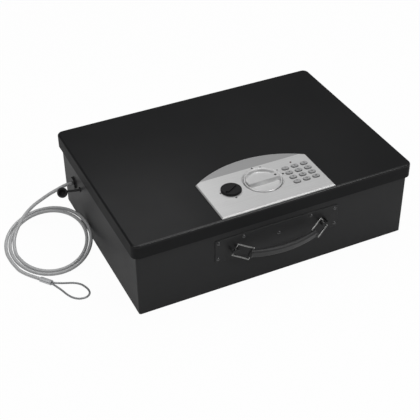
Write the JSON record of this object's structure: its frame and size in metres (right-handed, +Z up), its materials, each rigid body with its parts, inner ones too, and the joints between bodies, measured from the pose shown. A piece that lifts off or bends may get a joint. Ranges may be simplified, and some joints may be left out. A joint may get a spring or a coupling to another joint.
{
  "type": "electronic safe",
  "caption": "Low black steel strongbox with a hinged lid, silver lock fascia with knob, key lock and keypad, a front carrying handle and a coiled security cable.",
  "frame": {"origin": "on the floor, under the centre of the steel case", "axes": "+X to the right seen from the front, +Y from the handle's side to the hinges, +Z up"},
  "size_m": [0.5655, 0.3392, 0.1323],
  "materials": {
    "black_powder": "satin black powder coat, fine texture",
    "lid_black": "semi-gloss black powder coat",
    "brushed_silver": "fine satin silver",
    "silver_plastic": "satin silver paint on plastic",
    "grey_panel": "matt mid grey",
    "black_plastic": "fine-grained black",
    "white_nylon": "natural nylon",
    "black_rubber": "matt black rubber",
    "grey_rubber": "soft grey silicone",
    "foam": "dark grey felt-faced foam",
    "chrome_wire": "bright nickel plate",
    "zinc_steel": "bright zinc plate",
    "coated_cable": "clear vinyl over galvanised steel strand",
    "bare_cable": "bare galvanised steel strand",
    "ferrule": "pressed aluminium",
    "board_green": "solder mask green",
    "led_red": "smoked red lens",
    "copper_wound": "wound coil under clear tape",
    "cell_jacket": "printed metal jacket without lettering",
    "key_grey": "satin metallic grey",
    "cover_black": "satin black"
  },
  "bodies": {
    "case": {"case_shell": "black_powder", "floor_mat": "foam", "strike_plate": "zinc_steel", "handle_backplate": "black_plastic", "handle_rivets": "zinc_steel", "handle_clips": "black_powder", "hinge_leaf_case": "black_powder", "hinge_pins": "zinc_steel", "hinge_rivets_case": "zinc_steel", "cable_bush": "black_rubber", "cable_stop": "ferrule", "stop_washer": "zinc_steel", "hole_plug": "black_rubber", "cable_lead": "coated_cable", "cable_coil": "coated_cable", "cable_tail": "coated_cable", "cable_ferrule": "ferrule", "cable_end_loop": "bare_cable"},
    "lid": {"lid_shell": "lid_black", "hinge_leaf_lid": "black_powder", "hinge_rivets_lid": "zinc_steel", "fascia_plate": "brushed_silver", "fascia_band": "grey_panel", "spindle_bush": "white_nylon", "lock_cylinder": "zinc_steel", "keypad_mat": "grey_rubber", "circuit_board": "board_green", "status_led": "led_red", "lock_chassis": "zinc_steel", "lid_nuts": "zinc_steel", "lock_cover": "black_powder", "bolt_bushes": "white_nylon", "solenoid_coil": "copper_wound", "battery_box": "black_plastic", "batteries": "cell_jacket"},
    "knob": {"knob_dial": "silver_plastic", "knob_spindle": "zinc_steel", "drive_disc": "zinc_steel", "spindle_clip": "zinc_steel"},
    "bolts": {"bolt_bar": "zinc_steel", "lock_bolts": "zinc_steel"},
    "plunger": {"solenoid_plunger": "zinc_steel"},
    "key_plug": {"key_plug": "zinc_steel"},
    "key_cover": {"key_cover": "cover_black"},
    "battery_door": {"battery_door": "black_plastic"},
    "handle": {"handle_grip": "black_plastic", "handle_loops": "chrome_wire"},
    "key_1": {"key_1": "key_grey"},
    "key_2": {"key_2": "key_grey"},
    "key_3": {"key_3": "key_grey"},
    "key_4": {"key_4": "key_grey"},
    "key_5": {"key_5": "key_grey"},
    "key_6": {"key_6": "key_grey"},
    "key_7": {"key_7": "key_grey"},
    "key_8": {"key_8": "key_grey"},
    "key_9": {"key_9": "key_grey"},
    "key_10": {"key_10": "key_grey"},
    "key_11": {"key_11": "key_grey"},
    "key_12": {"key_12": "key_grey"}
  },
  "joints": [
    {"name": "lid_hinge", "type": "hinge", "parent": "case", "child": "lid", "pos_m": [0, 0.1545, 0.1], "axis": [-1, 0, 0], "range_deg": [0, 100]},
    {"name": "knob_turn", "type": "hinge", "parent": "lid", "child": "knob", "pos_m": [0.0032, -0.0995, 0.12], "axis": [0, 0, 1], "range_deg": [0, 90]},
    {"name": "bolt_throw", "type": "slide", "parent": "lid", "child": "bolts", "axis": [0, -1, 0], "range_m": [0, 0.0113]},
    {"name": "plunger_slide", "type": "slide", "parent": "lid", "child": "plunger", "axis": [1, 0, 0], "range_m": [0, 0.004]},
    {"name": "key_turn", "type": "hinge", "parent": "lid", "child": "key_plug", "pos_m": [-0.0487, -0.1023, 0.12], "axis": [0, 0, -1], "range_deg": [0, 90]},
    {"name": "cover_turn", "type": "hinge", "parent": "lid", "child": "key_cover", "pos_m": [-0.0487, -0.1023, 0.129], "axis": [0, 0, 1], "range_deg": [-24, 55]},
    {"name": "battery_door_hinge", "type": "hinge", "parent": "lid", "child": "battery_door", "pos_m": [0, 0.008, 0.1051], "axis": [1, 0, 0], "range_deg": [0, 100]},
    {"name": "handle_swing", "type": "hinge", "parent": "case", "child": "handle", "pos_m": [0, -0.1603, 0.0713], "axis": [-1, 0, 0], "range_deg": [-40, 33]},
    {"name": "press_key_1", "type": "slide", "parent": "lid", "child": "key_1", "axis": [0, 0, -1], "range_m": [0, 0.0012], "stiffness_N_per_m": 300, "springref_m": -0.0008},
    {"name": "press_key_2", "type": "slide", "parent": "lid", "child": "key_2", "axis": [0, 0, -1], "range_m": [0, 0.0012], "stiffness_N_per_m": 300, "springref_m": -0.0008},
    {"name": "press_key_3", "type": "slide", "parent": "lid", "child": "key_3", "axis": [0, 0, -1], "range_m": [0, 0.0012], "stiffness_N_per_m": 300, "springref_m": -0.0008},
    {"name": "press_key_4", "type": "slide", "parent": "lid", "child": "key_4", "axis": [0, 0, -1], "range_m": [0, 0.0012], "stiffness_N_per_m": 300, "springref_m": -0.0008},
    {"name": "press_key_5", "type": "slide", "parent": "lid", "child": "key_5", "axis": [0, 0, -1], "range_m": [0, 0.0012], "stiffness_N_per_m": 300, "springref_m": -0.0008},
    {"name": "press_key_6", "type": "slide", "parent": "lid", "child": "key_6", "axis": [0, 0, -1], "range_m": [0, 0.0012], "stiffness_N_per_m": 300, "springref_m": -0.0008},
    {"name": "press_key_7", "type": "slide", "parent": "lid", "child": "key_7", "axis": [0, 0, -1], "range_m": [0, 0.0012], "stiffness_N_per_m": 300, "springref_m": -0.0008},
    {"name": "press_key_8", "type": "slide", "parent": "lid", "child": "key_8", "axis": [0, 0, -1], "range_m": [0, 0.0012], "stiffness_N_per_m": 300, "springref_m": -0.0008},
    {"name": "press_key_9", "type": "slide", "parent": "lid", "child": "key_9", "axis": [0, 0, -1], "range_m": [0, 0.0012], "stiffness_N_per_m": 300, "springref_m": -0.0008},
    {"name": "press_key_10", "type": "slide", "parent": "lid", "child": "key_10", "axis": [0, 0, -1], "range_m": [0, 0.0012], "stiffness_N_per_m": 300, "springref_m": -0.0008},
    {"name": "press_key_11", "type": "slide", "parent": "lid", "child": "key_11", "axis": [0, 0, -1], "range_m": [0, 0.0012], "stiffness_N_per_m": 300, "springref_m": -0.0008},
    {"name": "press_key_12", "type": "slide", "parent": "lid", "child": "key_12", "axis": [0, 0, -1], "range_m": [0, 0.0012], "stiffness_N_per_m": 300, "springref_m": -0.0008}
  ],
  "couplings": [
    {"joint": "knob_turn", "follows": "bolt_throw", "rad_per_m": 139}
  ]
}
